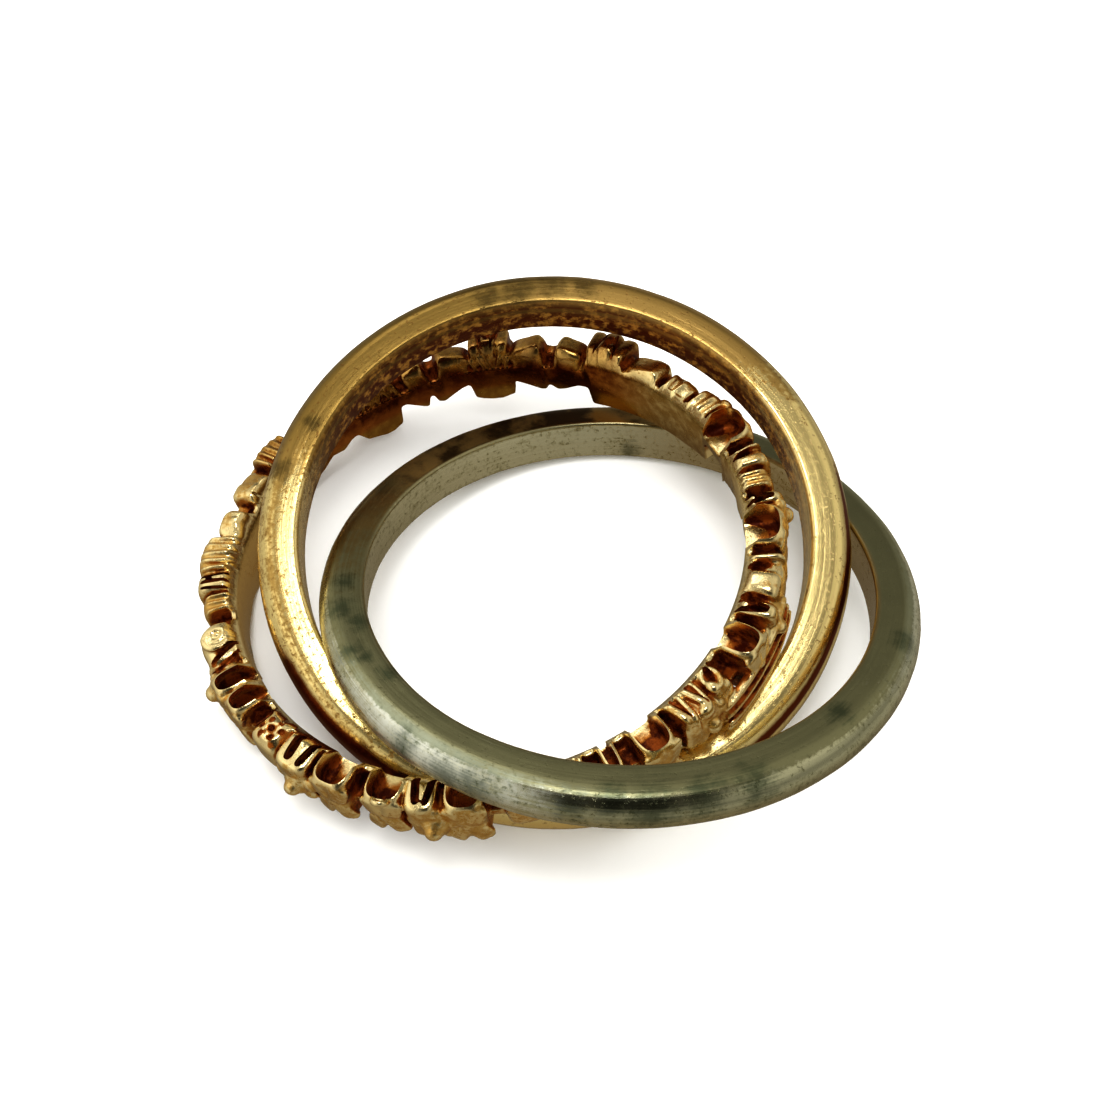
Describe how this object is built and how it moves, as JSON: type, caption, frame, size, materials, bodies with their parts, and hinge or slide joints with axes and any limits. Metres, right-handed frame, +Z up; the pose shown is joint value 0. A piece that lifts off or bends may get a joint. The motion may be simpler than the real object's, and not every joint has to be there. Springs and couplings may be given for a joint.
{
  "type": "triple band ring",
  "caption": "Finger ring of interlinked closed bands lying fanned on a surface: a plain domed gold-tone band, a plain tarnished silver-tone band and a cast flower-and-leaf wreath band.",
  "frame": {"origin": "on the surface that the ring lies on, under the middle of its bounding box", "axes": "+Z up from the surface, close to the axis of the finger opening; +X right and +Y away, as the picture shows it"},
  "size_m": [0.0246, 0.0217, 0.0064],
  "materials": {
    "plain_gold": "worn polished gold tone, scuffed",
    "plain_silver": "satin silver tone, tarnished",
    "cast_gold": "cast gold tone, dark in the recesses"
  },
  "bodies": {
    "root": {"gold_band": "plain_gold", "silver_band": "plain_silver", "wreath_band": "cast_gold"}
  },
  "joints": []
}
